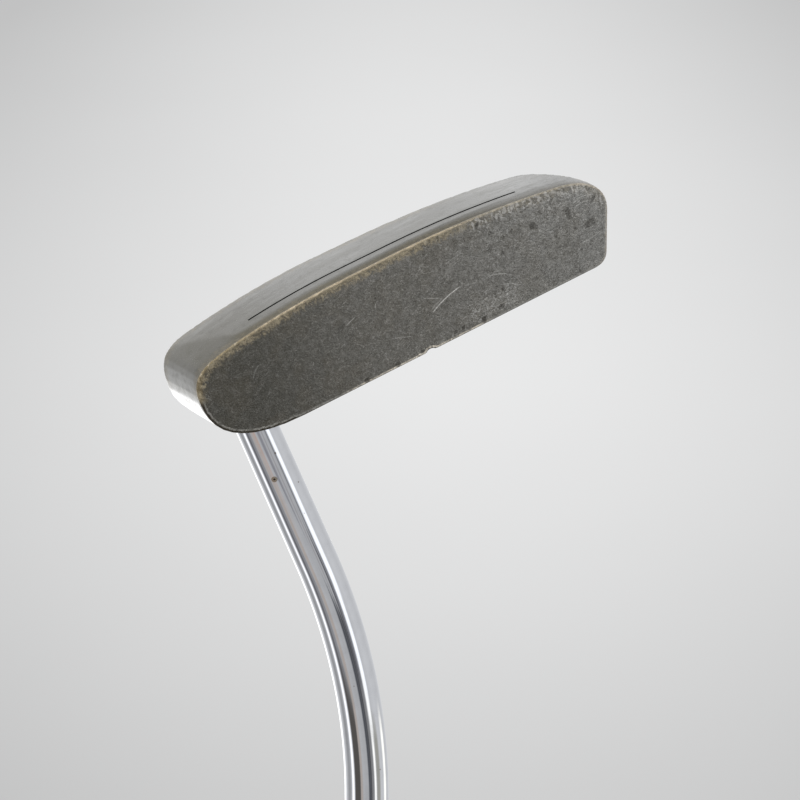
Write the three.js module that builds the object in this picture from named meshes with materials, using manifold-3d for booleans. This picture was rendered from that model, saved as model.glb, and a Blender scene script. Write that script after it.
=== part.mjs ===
// Blade putter with a bent steel shaft, standing head up as it does in a golf bag or a rack.
//
// Object frame, in millimetres: +Z runs up the straight part of the shaft from the butt to the head,
// the origin is the centre of the butt cap's end, the striking face looks along -Y, the heel is
// towards -X and the toe towards +X. The sole is uppermost; the club is turned over to be played.
//
// Head frame: x along the topline from heel to toe, y from the striking face to the back,
// z from the topline to the sole, with its origin at the sight groove in the topline.

import * as THREE from 'three';
import { mergeVertices } from 'three/addons/utils/BufferGeometryUtils.js';
import Module from 'manifold-3d';

const wasm = await Module();
wasm.setup();

// ---------------------------------------------------------------- driving dimensions

const CLUB_LENGTH = 889;        // butt end to the ground line of the sole, along the shaft's axis
const LIE = rad(69);            // between the shaft's axis and the sole's ground line
const TIP_LEAN = rad(6);        // how far the shaft's tip leans back behind the face
const BEND_RADIUS = 160;        // centre line of the single bend
const TIP_LEG = 36;             // straight shaft between the bend and the topline
const GAP = 0.3;                // clearance between pieces that touch or nest

const HEAD = {
  height: 25.1,                 // topline to the sole's lowest point, on the face
  restX: -5,                    // middle of the flat that the sole rests on, near the groove
  restLength: 12,
  toeRocker: 240,               // radius of the sole's curve from that flat to the toe
  heelRocker: 195,              // and from it to the heel
  heelX: -52.3,                 // heel end of the face
  heelFlare: 0.18,              // the heel side slants out by this much for each mm behind the face
  toplineWidth: 4.2,
  depth: 21,                    // room for the deepest part of the sole, at the heel
  leadingEdgeDrop: 0.5,         // how far the sole's front edge is relieved
  leadingEdgeWidth: 6,
  trailingEdgeDrop: 0.5,        // and its back edge
  trailingEdgeStart: 12,
};

const CAVITY = {
  heelX: -31, toeX: 30, floorZ: 18, frontY: 4.3, backY: 30, cornerRadius: 3, endSlant: 5,
};
const SLOT = { heelX: -34.5, toeX: 32.1, y: 5.2, skew: rad(0.7), width: 0.6, overlap: 0.5 };
const GROOVE = { radius: 1.6, depth: 0.55, length: 20 };
const BORE = { x: -41.5, y: 9, bottomZ: 18.4, bossRadius: 7, bossTopZ: 2.4 };

const SHAFT = {
  tipRadius: 4.7, tipTaper: 0.0045, wall: 0.75, buttRadius: 7.62,
  steps: 12, stepPitch: 38, firstStepBelowBend: 20, buttZ: 7.8, sides: 24,
};
const BOND = { thickness: 0.25, gap: 0.25, length: 12 };
const PLUG = { length: 11, inset: 0.6 };

const GRIP = {
  length: 265, mouthRadius: 9.8, buttRadius: 13.4, bulge: 3.6, bulgeZ: 24, bulgeSpread: 26,
  flatShare: 0.86, coreRadius: 8.5, sides: 40, mouthChamfer: 1.2,
};
const CAP = { thickness: 4.5, spigotRadius: 8.1, spigotLength: 2.8, ventRadius: 1.25, edgeRound: 2 };
const TAPE = { innerRadius: 7.92, thickness: 0.24, startZ: 12, endZ: 256 };

// ---------------------------------------------------------------- small helpers

function rad(degrees) {
  return degrees * Math.PI / 180;
}

// Moves each vertex of a geometry by a function of its position.
function mapVertices(geometry, change) {
  const position = geometry.attributes.position;
  const point = new THREE.Vector3();
  for (let i = 0; i < position.count; i++) {
    point.fromBufferAttribute(position, i);
    change(point);
    position.setXYZ(i, point.x, point.y, point.z);
  }
  geometry.computeVertexNormals();
  return geometry;
}

function closed(geometry) {
  const copy = geometry.clone();
  copy.deleteAttribute('normal');
  copy.deleteAttribute('uv');
  return mergeVertices(copy, 1e-4);
}

function toSolid(geometry) {
  const merged = closed(geometry);
  return new wasm.Manifold(new wasm.Mesh({
    numProp: 3,
    vertProperties: new Float32Array(merged.attributes.position.array),
    triVerts: new Uint32Array(merged.index.array),
  }));
}

function toGeometry(solid) {
  const mesh = solid.getMesh();
  const geometry = new THREE.BufferGeometry();
  geometry.setAttribute('position', new THREE.BufferAttribute(mesh.vertProperties, 3));
  geometry.setIndex(new THREE.BufferAttribute(mesh.triVerts, 1));
  geometry.computeVertexNormals();
  return geometry;
}

// A round piece on the Z axis from [radius, z] points. The list runs up the outside, and then
// back down the inside or the axis to where it began.
function turned(profile, sides) {
  const points = [...profile, profile[0]].map(([radius, z]) => new THREE.Vector2(radius, z));
  return closed(new THREE.LatheGeometry(points, sides).rotateX(Math.PI / 2));
}

function extruded(shape, depth, curveSegments = 12, steps = 1) {
  return new THREE.ExtrudeGeometry(shape, { depth, steps, curveSegments, bevelEnabled: false });
}

// ---------------------------------------------------------------- the shaft's centre line

// The tip leans sideways by the lie and backwards behind the face, so one bend turns through this
// angle, towards this heading around the straight shaft.
const headTilt = Math.PI / 2 - LIE;
const bendAngle = Math.acos(Math.cos(headTilt) * Math.cos(TIP_LEAN));
const heading = new THREE.Vector3(-Math.sin(headTilt) * Math.cos(TIP_LEAN), Math.sin(TIP_LEAN), 0)
  .normalize();
const beside = new THREE.Vector3(0, 0, 1).cross(heading);

const bendRise = BEND_RADIUS * Math.sin(bendAngle) + TIP_LEG * Math.cos(bendAngle);
const bendReach = BEND_RADIUS * (1 - Math.cos(bendAngle)) + TIP_LEG * Math.sin(bendAngle);

// Where the head frame's origin is, measured from the start of the bend.
const headAxisX = new THREE.Vector3(Math.cos(headTilt), 0, Math.sin(headTilt));
const headOffset = heading.clone().multiplyScalar(bendReach)
  .add(new THREE.Vector3(0, 0, bendRise))
  .addScaledVector(headAxisX, -BORE.x)
  .add(new THREE.Vector3(0, -BORE.y, 0));
const groundAboveHead = (HEAD.height - headOffset.x * Math.sin(headTilt)) / Math.cos(headTilt);

const bendStart = CLUB_LENGTH - groundAboveHead - headOffset.z;
const bendEnd = bendStart + BEND_RADIUS * bendAngle;
const boreEntry = bendEnd + TIP_LEG;
const boreDepth = (BORE.bottomZ - 1) / Math.cos(TIP_LEAN);
const shaftTip = boreEntry + boreDepth;

// Bends a straight piece that was made on the Z axis to follow the centre line.
function bend(geometry) {
  return mapVertices(geometry, (point) => {
    if (point.z <= bendStart) return;
    const angle = Math.min((point.z - bendStart) / BEND_RADIUS, bendAngle);
    const past = Math.max(point.z - bendEnd, 0);
    const inPlane = point.x * heading.x + point.y * heading.y;
    const across = point.x * beside.x + point.y * beside.y;
    const reach = BEND_RADIUS * (1 - Math.cos(angle)) + past * Math.sin(angle)
      + inPlane * Math.cos(angle);
    const rise = bendStart + BEND_RADIUS * Math.sin(angle) + past * Math.cos(angle)
      - inPlane * Math.sin(angle);
    point.copy(heading).multiplyScalar(reach).addScaledVector(beside, across);
    point.z = rise;
  });
}

// ---------------------------------------------------------------- head

function soleHeight(x) {
  const pastFlat = Math.max(Math.abs(x - HEAD.restX) - HEAD.restLength / 2, 0);
  const rocker = x < HEAD.restX ? HEAD.heelRocker : HEAD.toeRocker;
  return HEAD.height - pastFlat ** 2 / (2 * rocker);
}

// The striking face's outline, x along the topline and the shape's y towards the sole.
function faceOutline() {
  const toeCornerX = 41.5;
  const heelCornerX = -41;
  const flatToeX = HEAD.restX + HEAD.restLength / 2;
  const flatHeelX = HEAD.restX - HEAD.restLength / 2;
  const shape = new THREE.Shape();
  shape.moveTo(-32, 0);
  shape.lineTo(42.3, 0);
  shape.quadraticCurveTo(45.2, 0.1, 46.1, 2.6);
  shape.lineTo(49.6, 12);
  shape.bezierCurveTo(50.9, 16.4, 48.4, 20.1, toeCornerX, soleHeight(toeCornerX));
  const followSole = (from, to, points) => {
    for (let i = 1; i <= points; i++) {
      const x = from + (to - from) * i / points;
      shape.lineTo(x, soleHeight(x));
    }
  };
  followSole(toeCornerX, flatToeX, 10);
  shape.lineTo(flatHeelX, HEAD.height);
  followSole(flatHeelX, heelCornerX, 8);
  shape.bezierCurveTo(-48.2, 21.4, HEAD.heelX, 20.6, HEAD.heelX, 13.5);
  shape.bezierCurveTo(HEAD.heelX, 6.2, -48.4, 0.2, -32, 0);
  return shape;
}

// The outline seen from the sole: a slanted heel side, a back edge and a toe cut away at the back.
function soleOutline() {
  const shape = new THREE.Shape();
  shape.moveTo(-58, -1);
  shape.lineTo(52, -1);
  shape.lineTo(50.2, 0.3);
  shape.quadraticCurveTo(48.2, 1.4, 46.2, 3.5);
  shape.lineTo(40.6, 10);
  shape.quadraticCurveTo(38.6, 13, 35.4, 14.1);
  shape.quadraticCurveTo(-4, 18.2, -45, 19.7);
  shape.quadraticCurveTo(-52.4, 20.2, -55, 16);
  shape.lineTo(-58, 13.5);
  return shape;
}

// The outline seen from the end: shape x is the head's y, shape y is its z.
function endOutline() {
  const shape = new THREE.Shape();
  shape.moveTo(-1, -2);
  shape.lineTo(HEAD.toplineWidth, -2);
  shape.lineTo(HEAD.toplineWidth, 0.4);
  shape.bezierCurveTo(8.6, 3, 13.4, 6.4, 16.8, 12.2);
  shape.bezierCurveTo(18.6, 15.4, HEAD.depth, 18, HEAD.depth + 1, HEAD.height + 2);
  shape.lineTo(-1, HEAD.height + 2);
  return shape;
}

// The pocket behind the face, seen from the topline, with slanted ends and round inner corners.
function cavityOutline() {
  const { heelX, toeX, frontY, backY, cornerRadius: round, endSlant } = CAVITY;
  const shape = new THREE.Shape();
  shape.moveTo(heelX + round, frontY);
  shape.lineTo(toeX - round, frontY);
  shape.quadraticCurveTo(toeX, frontY, toeX + 0.6, frontY + round);
  shape.lineTo(toeX + endSlant, backY);
  shape.lineTo(heelX - endSlant, backY);
  shape.lineTo(heelX - 0.6, frontY + round);
  shape.quadraticCurveTo(heelX, frontY, heelX + round, frontY);
  return shape;
}

function headBlank() {
  const rings = 7;
  const blank = extruded(faceOutline(), HEAD.depth, 10, rings)
    .rotateX(Math.PI / 2).translate(0, HEAD.depth, 0);
  return mapVertices(blank, (point) => {
    const front = Math.max(1 - point.y / HEAD.leadingEdgeWidth, 0);
    const back = Math.max(point.y - HEAD.trailingEdgeStart, 0)
      / (HEAD.depth - HEAD.trailingEdgeStart);
    const relief = HEAD.leadingEdgeDrop * (1 - front ** 2) - HEAD.trailingEdgeDrop * back ** 2;
    point.z += relief * point.z / HEAD.height;
    const towardsHeel = Math.max(BORE.x - point.x, 0) / (BORE.x - HEAD.heelX);
    point.x -= HEAD.heelFlare * point.y * towardsHeel;
  });
}

function boreCylinder(radius, bottomZ, topZ) {
  const length = (bottomZ - topZ) / Math.cos(TIP_LEAN);
  return new THREE.CylinderGeometry(radius, radius, length, SHAFT.sides)
    .rotateX(Math.PI / 2)
    .translate(0, 0, topZ / Math.cos(TIP_LEAN) + length / 2)
    .rotateX(-TIP_LEAN)
    .translate(BORE.x, BORE.y, 0);
}

function putterHead() {
  const room = 4;
  const plan = extruded(soleOutline(), HEAD.height + 2 * room, 8).translate(0, 0, -room);
  const alongX = new THREE.Matrix4().makeBasis(
    new THREE.Vector3(0, 1, 0), new THREE.Vector3(0, 0, 1), new THREE.Vector3(1, 0, 0));
  const endLength = 120;
  const end = extruded(endOutline(), endLength, 8)
    .applyMatrix4(alongX).translate(-endLength / 2, 0, 0);
  const boss = boreCylinder(BORE.bossRadius, BORE.bottomZ, BORE.bossTopZ);
  const cavity = extruded(cavityOutline(), CAVITY.floorZ + room, 6).translate(0, 0, -room);
  const slotBottomZ = CAVITY.floorZ - SLOT.overlap;
  const slotTopZ = HEAD.height + room;
  const slot = new THREE.BoxGeometry(SLOT.toeX - SLOT.heelX, SLOT.width, slotTopZ - slotBottomZ)
    .rotateZ(-SLOT.skew)
    .translate((SLOT.heelX + SLOT.toeX) / 2, SLOT.y, (slotBottomZ + slotTopZ) / 2);
  const groove = new THREE.CylinderGeometry(GROOVE.radius, GROOVE.radius, GROOVE.length, 24)
    .translate(0, 0, GROOVE.depth - GROOVE.radius);
  const boreRadius = SHAFT.tipRadius + 2 * BOND.gap + BOND.thickness;
  const bore = boreCylinder(boreRadius, BORE.bottomZ, -room);
  return toGeometry(toSolid(headBlank())
    .intersect(toSolid(plan))
    .intersect(toSolid(end))
    .subtract(toSolid(cavity))
    .add(toSolid(boss))
    .subtract(toSolid(slot))
    .subtract(toSolid(groove))
    .subtract(toSolid(bore)));
}

// ---------------------------------------------------------------- shaft and what bonds it

// [radius, z] down the outside of the straight shaft from the tip to the butt.
function shaftOutside() {
  const bendRings = 12;
  const outside = [[SHAFT.tipRadius, shaftTip], [SHAFT.tipRadius, boreEntry]];
  const taperRadius = (z) => SHAFT.tipRadius + SHAFT.tipTaper * (boreEntry - z);
  for (let i = 0; i <= bendRings; i++) {
    const z = bendEnd + (bendStart - bendEnd) * i / bendRings;
    outside.push([taperRadius(z), z]);
  }
  const firstStep = bendStart - SHAFT.firstStepBelowBend;
  let radius = taperRadius(bendStart);
  const rise = (SHAFT.buttRadius - radius) / SHAFT.steps;
  for (let i = 0; i < SHAFT.steps; i++) {
    const z = firstStep - i * SHAFT.stepPitch;
    outside.push([radius, z]);
    radius += rise;
    outside.push([radius, z - 2 * rise]);
  }
  outside.push([SHAFT.buttRadius, SHAFT.buttZ]);
  return outside;
}

function shaftTube() {
  const outside = shaftOutside();
  const inside = outside.map(([radius, z]) => [radius - SHAFT.wall, z]);
  return bend(turned([...outside.reverse(), ...inside], SHAFT.sides));
}

// The adhesive round the tip, between the shaft and the wall of the bore.
function shaftBond() {
  const inner = SHAFT.tipRadius + BOND.gap;
  const outer = inner + BOND.thickness;
  const top = shaftTip - 0.5;
  const bottom = top - BOND.length;
  return bend(turned([[outer, bottom], [outer, top], [inner, top], [inner, bottom]], SHAFT.sides));
}

// The plug that keeps the adhesive out of the shaft.
function tipPlug() {
  const radius = SHAFT.tipRadius - SHAFT.wall - GAP;
  const top = shaftTip - PLUG.inset;
  const bottom = top - PLUG.length;
  return bend(turned([[0, bottom], [radius, bottom], [radius, top], [0, top]], SHAFT.sides));
}

// ---------------------------------------------------------------- grip

function gripRadius(z) {
  const fromMouth = 1 - Math.min(Math.max(z / GRIP.length, 0), 1);
  return GRIP.mouthRadius + (GRIP.buttRadius - GRIP.mouthRadius) * fromMouth ** 1.3;
}

// Gives a round outside the pistol shape: a flat for the thumbs on the toe side, and a swelling
// for the palm on the heel side near the butt.
function pistolShape(geometry, coreRadius) {
  return mapVertices(geometry, (point) => {
    if (Math.hypot(point.x, point.y) < coreRadius + 0.01) return;
    const flat = GRIP.flatShare * gripRadius(point.z);
    const swelling = GRIP.bulge * Math.exp(-(((point.z - GRIP.bulgeZ) / GRIP.bulgeSpread) ** 2));
    if (point.x < 0) point.x *= 1 + swelling / gripRadius(point.z);
    point.x = Math.min(point.x, flat);
  });
}

function gripSleeve() {
  const rings = 22;
  const start = CAP.thickness + GAP;
  const outside = [];
  for (let i = 0; i <= rings; i++) {
    const z = start + (GRIP.length - start) * (i / rings) ** 1.3;
    outside.push([gripRadius(z), z]);
  }
  const [mouthRadius] = outside.pop();
  outside.push([mouthRadius, GRIP.length - GRIP.mouthChamfer]);
  outside.push([GRIP.coreRadius + 0.4, GRIP.length]);
  const core = [[GRIP.coreRadius, GRIP.length], [GRIP.coreRadius, start]];
  return pistolShape(turned([...outside, ...core], GRIP.sides), GRIP.coreRadius);
}

function gripCap() {
  const outside = [];
  const roundSteps = 4;
  for (let i = 0; i <= roundSteps; i++) {
    const angle = Math.PI / 2 * i / roundSteps;
    const inset = CAP.edgeRound * (1 - Math.sin(angle));
    outside.push([gripRadius(0) - inset, CAP.edgeRound * (1 - Math.cos(angle))]);
  }
  const top = CAP.thickness + CAP.spigotLength;
  const profile = [...outside, [gripRadius(0), CAP.thickness],
    [CAP.spigotRadius, CAP.thickness], [CAP.spigotRadius, top],
    [CAP.ventRadius, top], [CAP.ventRadius, 0]];
  return pistolShape(turned(profile, GRIP.sides), CAP.spigotRadius);
}

function gripTape() {
  const inner = TAPE.innerRadius;
  const outer = inner + TAPE.thickness;
  return turned([[outer, TAPE.startZ], [outer, TAPE.endZ], [inner, TAPE.endZ], [inner, TAPE.startZ]],
    SHAFT.sides);
}

// ---------------------------------------------------------------- assembly

const bronze = new THREE.MeshStandardMaterial({ color: 0x5f5d57, roughness: 0.48, metalness: 0.85 });
const chrome = new THREE.MeshStandardMaterial({ color: 0xd4d6da, roughness: 0.08, metalness: 1 });
const epoxy = new THREE.MeshStandardMaterial({ color: 0xb9a777, roughness: 0.4, metalness: 0 });
const cork = new THREE.MeshStandardMaterial({ color: 0xa9845a, roughness: 0.9, metalness: 0 });
const gripRubber = new THREE.MeshStandardMaterial({ color: 0x1c1c1d, roughness: 0.75, metalness: 0 });
const capRubber = new THREE.MeshStandardMaterial({ color: 0x161617, roughness: 0.6, metalness: 0 });
const tapePaper = new THREE.MeshStandardMaterial({ color: 0xd9d0b8, roughness: 0.85, metalness: 0 });

function piece(name, geometry, material) {
  const mesh = new THREE.Mesh(geometry, material);
  mesh.name = name;
  return mesh;
}

const headGroup = new THREE.Group();
headGroup.rotation.y = -headTilt;
headGroup.position.set(headOffset.x, headOffset.y, bendStart + headOffset.z);
headGroup.add(piece('putter_head', putterHead(), bronze));

const group = new THREE.Group();
group.add(headGroup);
group.add(piece('shaft_tube', shaftTube(), chrome));
group.add(piece('shaft_bond', shaftBond(), epoxy));
group.add(piece('tip_plug', tipPlug(), cork));
group.add(piece('grip_sleeve', gripSleeve(), gripRubber));
group.add(piece('grip_cap', gripCap(), capRubber));
group.add(piece('grip_tape', gripTape(), tapePaper));

export default group;
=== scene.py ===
import math

import bmesh
import bpy
import numpy as np
from mathutils import Matrix, Vector
from mathutils.kdtree import KDTree


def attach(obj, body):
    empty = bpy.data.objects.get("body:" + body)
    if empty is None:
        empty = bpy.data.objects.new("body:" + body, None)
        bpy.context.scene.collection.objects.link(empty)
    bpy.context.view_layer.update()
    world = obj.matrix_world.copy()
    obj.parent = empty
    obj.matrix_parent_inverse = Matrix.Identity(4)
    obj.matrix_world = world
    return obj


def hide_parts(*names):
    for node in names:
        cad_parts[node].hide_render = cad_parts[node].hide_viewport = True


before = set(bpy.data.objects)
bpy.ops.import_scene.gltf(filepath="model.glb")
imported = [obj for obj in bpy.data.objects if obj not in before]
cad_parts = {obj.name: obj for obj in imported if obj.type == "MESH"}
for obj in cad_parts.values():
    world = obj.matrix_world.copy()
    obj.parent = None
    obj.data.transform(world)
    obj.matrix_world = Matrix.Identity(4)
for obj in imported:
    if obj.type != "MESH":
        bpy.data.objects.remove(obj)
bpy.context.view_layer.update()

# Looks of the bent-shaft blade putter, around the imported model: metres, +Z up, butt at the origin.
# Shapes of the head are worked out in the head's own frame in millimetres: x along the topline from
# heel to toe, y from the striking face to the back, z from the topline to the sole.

MM = 0.001

# ---------------------------------------------------------------- driving dimensions (as the CAD)

CLUB_LENGTH = 889.0
LIE = math.radians(69)
TIP_LEAN = math.radians(6)
BEND_RADIUS = 160.0
TIP_LEG = 36.0
HEAD_HEIGHT = 25.1
BORE_X, BORE_Y, BORE_BOTTOM, BOSS_TOP = -41.5, 9.0, 18.4, 2.4
BORE_RADIUS = 5.45
REST_X, REST_LENGTH, TOE_ROCKER, HEEL_ROCKER = -5.0, 12.0, 240.0, 195.0
RELIEF, RELIEF_WIDTH = 0.5, 6.0         # how far the sole rises behind its front edge
SLOT_HEEL, SLOT_TOE, SLOT_Y, SLOT_WIDTH, SLOT_SKEW = -34.5, 32.1, 5.2, 0.6, math.radians(0.7)

TIP_RADIUS, TIP_TAPER, SHAFT_WALL, BUTT_RADIUS = 4.7, 0.0045, 0.75, 7.62
RUST_BELOW_HEAD, RUST_ROUND = 12.9, math.radians(82)       # one rust pit on the front of the shaft
SHAFT_STEPS, STEP_PITCH, FIRST_STEP_BELOW_BEND, SHAFT_BUTT_Z = 12, 38.0, 20.0, 7.8

GRIP_LENGTH, GRIP_MOUTH, GRIP_BUTT, GRIP_CORE = 265.0, 9.8, 13.4, 8.5
GRIP_BULGE, GRIP_BULGE_Z, GRIP_BULGE_SPREAD, GRIP_FLAT = 3.6, 24.0, 26.0, 0.86
GROOVE_DEPTH, GROOVE_PITCH, GROOVES_FROM, GROOVES_TO = 0.35, 2.2, 30, 245
CAP_THICKNESS, CAP_GAP, CAP_EDGE_ROUND = 4.5, 0.3, 2.0
SPIGOT_RADIUS, SPIGOT_LENGTH, VENT_RADIUS = 8.1, 2.8, 1.25

# ---------------------------------------------------------------- where things are

HEAD_TILT = math.pi / 2 - LIE
BEND_ANGLE = math.acos(math.cos(HEAD_TILT) * math.cos(TIP_LEAN))
HEADING = Vector((-math.sin(HEAD_TILT) * math.cos(TIP_LEAN), math.sin(TIP_LEAN), 0)).normalized()
BESIDE = Vector((0, 0, 1)).cross(HEADING)


def bend_offset(leg):
    """Millimetres from the start of the bend to a point that far past its end."""
    reach = BEND_RADIUS * (1 - math.cos(BEND_ANGLE)) + leg * math.sin(BEND_ANGLE)
    rise = BEND_RADIUS * math.sin(BEND_ANGLE) + leg * math.cos(BEND_ANGLE)
    return HEADING * reach + Vector((0, 0, rise))


HEAD_TURN = Matrix.Rotation(-HEAD_TILT, 3, "Y")
head_offset = bend_offset(TIP_LEG) - HEAD_TURN @ Vector((BORE_X, BORE_Y, 0))
ground_above_head = (HEAD_HEIGHT - head_offset.x * math.sin(HEAD_TILT)) / math.cos(HEAD_TILT)
BEND_START = CLUB_LENGTH - ground_above_head - head_offset.z
BEND_END = BEND_START + BEND_RADIUS * BEND_ANGLE
BORE_ENTRY = BEND_END + TIP_LEG
SHAFT_TIP = BORE_ENTRY + (BORE_BOTTOM - 1) / math.cos(TIP_LEAN)
HEAD_ORIGIN = head_offset + Vector((0, 0, BEND_START))
HEAD_TO_PART = Matrix.Translation(HEAD_ORIGIN * MM) @ HEAD_TURN.to_4x4() @ Matrix.Scale(MM, 4)


def along_shaft(z):
    """Centre point and the two directions across the shaft, that far up it from the butt."""
    if z <= BEND_START:
        return Vector((0, 0, z)), HEADING, BESIDE
    angle = min((z - BEND_START) / BEND_RADIUS, BEND_ANGLE)
    past = max(z - BEND_END, 0)
    reach = BEND_RADIUS * (1 - math.cos(angle)) + past * math.sin(angle)
    rise = BEND_START + BEND_RADIUS * math.sin(angle) + past * math.cos(angle)
    across = HEADING * math.cos(angle) - Vector((0, 0, math.sin(angle)))
    return HEADING * reach + Vector((0, 0, rise)), across, BESIDE


# ---------------------------------------------------------------- camera

AZIMUTH, ELEVATION, DISTANCE = math.radians(-20), math.radians(19.9), 742.7
LENS = 150.0
AIM_RIGHT, AIM_DOWN = 7.0, 10.9         # from the topline's middle to what the camera looks at

look = Vector((-math.sin(AZIMUTH) * math.cos(ELEVATION), math.cos(AZIMUTH) * math.cos(ELEVATION),
               -math.sin(ELEVATION)))
right = look.cross(Vector((0, 0, 1))).normalized()
up = right.cross(look)
eye = HEAD_ORIGIN - right * AIM_RIGHT - up * AIM_DOWN - look * DISTANCE
camera_data = bpy.data.cameras.new("camera")
camera_data.lens = LENS
camera_data.sensor_width = 36.0
camera_data.clip_start = 0.02
camera_data.clip_end = 200.0
camera = bpy.data.objects.new("camera", camera_data)
bpy.context.scene.collection.objects.link(camera)
camera.matrix_world = Matrix.Translation(eye * MM) @ Matrix((right, up, -look)).transposed().to_4x4()
bpy.context.scene.camera = camera
bpy.context.scene.view_settings.view_transform = "Standard"

# ---------------------------------------------------------------- node helpers


def opaque(value):
    """A colour of three numbers with its alpha, and anything else as it is."""
    return (*value, 1.0) if isinstance(value, tuple) and len(value) == 3 else value


class Shader:
    """A node material or world, with one short call for each node."""

    def __init__(self, owner):
        owner.use_nodes = True
        self.tree = owner.node_tree
        self.tree.nodes.clear()

    def node(self, kind, inputs=None, **settings):
        made = self.tree.nodes.new(kind)
        for key, value in settings.items():
            setattr(made, key, value)
        for key, value in (inputs or {}).items():
            self.feed(made.inputs[key], value)
        return made

    def feed(self, socket, value):
        if isinstance(value, bpy.types.NodeSocket):
            self.tree.links.new(value, socket)
        elif isinstance(value, bpy.types.Node):
            self.tree.links.new(value.outputs[0], socket)
        else:
            socket.default_value = value

    def math(self, operation, *values):
        made = self.node("ShaderNodeMath", operation=operation)
        for socket, value in zip(made.inputs, values):
            self.feed(socket, value)
        return made.outputs[0]

    def in_turn(self, operation, first, *others):
        for other in others:
            first = self.math(operation, first, other)
        return first

    def times(self, *values):
        return self.in_turn("MULTIPLY", *values)

    def plus(self, *values):
        return self.in_turn("ADD", *values)

    def minus(self, first, second):
        return self.math("SUBTRACT", first, second)

    def largest(self, *values):
        return self.in_turn("MAXIMUM", *values)

    def step(self, value, low, high, out_low=0.0, out_high=1.0):
        """Smooth rise from out_low to out_high while value goes from low to high."""
        made = self.node("ShaderNodeMapRange", interpolation_type="SMOOTHSTEP")
        for socket, part in zip(made.inputs, (value, low, high, out_low, out_high)):
            self.feed(socket, part)
        return made.outputs[0]

    def between(self, share, first, second):
        """The number that far from first to second."""
        made = self.node("ShaderNodeMix", data_type="FLOAT")
        for number, value in ((0, share), (2, first), (3, second)):
            self.feed(made.inputs[number], value)
        return made.outputs[0]

    def mix(self, share, first, second):
        """The colour that far from first to second."""
        made = self.node("ShaderNodeMix", data_type="RGBA")
        self.feed(made.inputs[0], share)
        self.feed(made.inputs[6], opaque(first))
        self.feed(made.inputs[7], opaque(second))
        return made.outputs[2]

    def noise(self, place, scale, detail=4.0, rough=0.55, distortion=0.0):
        return self.node("ShaderNodeTexNoise", {
            "Vector": place, "Scale": scale, "Detail": detail, "Roughness": rough,
            "Distortion": distortion}).outputs[0]

    def cells(self, place, scale):
        return self.node("ShaderNodeTexVoronoi", {"Vector": place, "Scale": scale}).outputs[0]

    def stretch(self, place, scale=(1, 1, 1), turn=(0, 0, 0), shift=(0, 0, 0)):
        return self.node("ShaderNodeMapping", {
            "Vector": place, "Scale": scale, "Rotation": turn, "Location": shift}).outputs[0]

    def parts(self, vector):
        return self.node("ShaderNodeSeparateXYZ", {"Vector": vector}).outputs

    def length(self, vector):
        return self.node("ShaderNodeVectorMath", {"Vector": vector}, operation="LENGTH").outputs["Value"]

    def attribute(self, name):
        return self.node("ShaderNodeAttribute", attribute_name=name).outputs["Fac"]

    def place(self):
        """Object coordinates, which are the part's own frame, in millimetres."""
        return self.stretch(self.node("ShaderNodeTexCoord").outputs["Object"], (1000,) * 3)

    def bump(self, height, distance, strength):
        return self.node("ShaderNodeBump", {
            "Height": height, "Distance": distance * MM, "Strength": strength}).outputs[0]

    def surface(self, **inputs):
        bsdf = self.node("ShaderNodeBsdfPrincipled")
        for key, value in inputs.items():
            self.feed(bsdf.inputs[key.replace("_", " ")], opaque(value))
        self.node("ShaderNodeOutputMaterial", {"Surface": bsdf.outputs[0]})
        return bsdf


def new_shader(name):
    material = bpy.data.materials.new(name)
    return material, Shader(material)


# ---------------------------------------------------------------- materials


FACE_SCRATCHES = (
    # from x, z to x, z on the face, how far it bows upwards, width, brightness
    (3.2, 8.1, 12.4, 11.1, 0.55, 0.20, 0.95),
    (11.4, 10.8, 16.8, 9.6, 0.2, 0.14, 0.22),
    (18.0, 10.2, 24.0, 7.3, 0.6, 0.16, 0.45),
    (20.6, 6.8, 25.2, 4.2, 0.3, 0.16, 0.4),
    (4.4, 11.6, 6.6, 10.3, 0.0, 0.14, 0.45),
    (10.0, 17.4, 15.2, 18.1, 0.2, 0.13, 0.35),
    (-39.4, 13.4, -36.8, 16.0, 0.35, 0.2, 0.28),
    (-37.2, 13.0, -35.2, 14.4, -0.5, 0.2, 0.16),
    (-15.8, 14.8, -13.1, 15.8, 0.1, 0.18, 0.42),
    (-8.1, 15.4, -7.6, 16.6, 0.2, 0.2, 0.42),
    (-7.6, 7.2, -2.2, 5.0, 0.1, 0.2, 0.3),
    (-25.9, 9.8, -25.6, 10.6, 0.0, 0.2, 0.4),
    (2.6, 12.4, 6.2, 10.6, 0.1, 0.16, 0.35),
    (41.8, 16.4, 48.2, 16.0, 1.1, 0.16, 0.5),
    (42.0, 15.4, 47.4, 14.9, 0.9, 0.16, 0.35),
    (41.0, 7.2, 46.6, 7.9, -0.4, 0.16, 0.45),
)


def scratch(s, x, z, start_x, start_z, end_x, end_z, bow, width, bright):
    """How strongly one shallow arc marks the point x, z of the face."""
    chord_x, chord_z = end_x - start_x, end_z - start_z
    length = math.hypot(chord_x, chord_z)
    chord_x, chord_z = chord_x / length, chord_z / length
    from_x, from_z = s.minus(x, start_x), s.minus(z, start_z)
    share = s.plus(s.times(from_x, chord_x / length), s.times(from_z, chord_z / length))
    offset = s.plus(s.times(from_x, -chord_z), s.times(from_z, chord_x))
    arch = s.times(share, s.minus(1.0, share), 4 * bow)
    off_line = s.math("ABSOLUTE", s.minus(offset, arch))
    ends = s.times(s.step(share, 0.0, 0.12), s.step(share, 1.0, 0.8))
    return s.times(s.step(off_line, width, 0.25 * width, 0, bright), ends)


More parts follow.
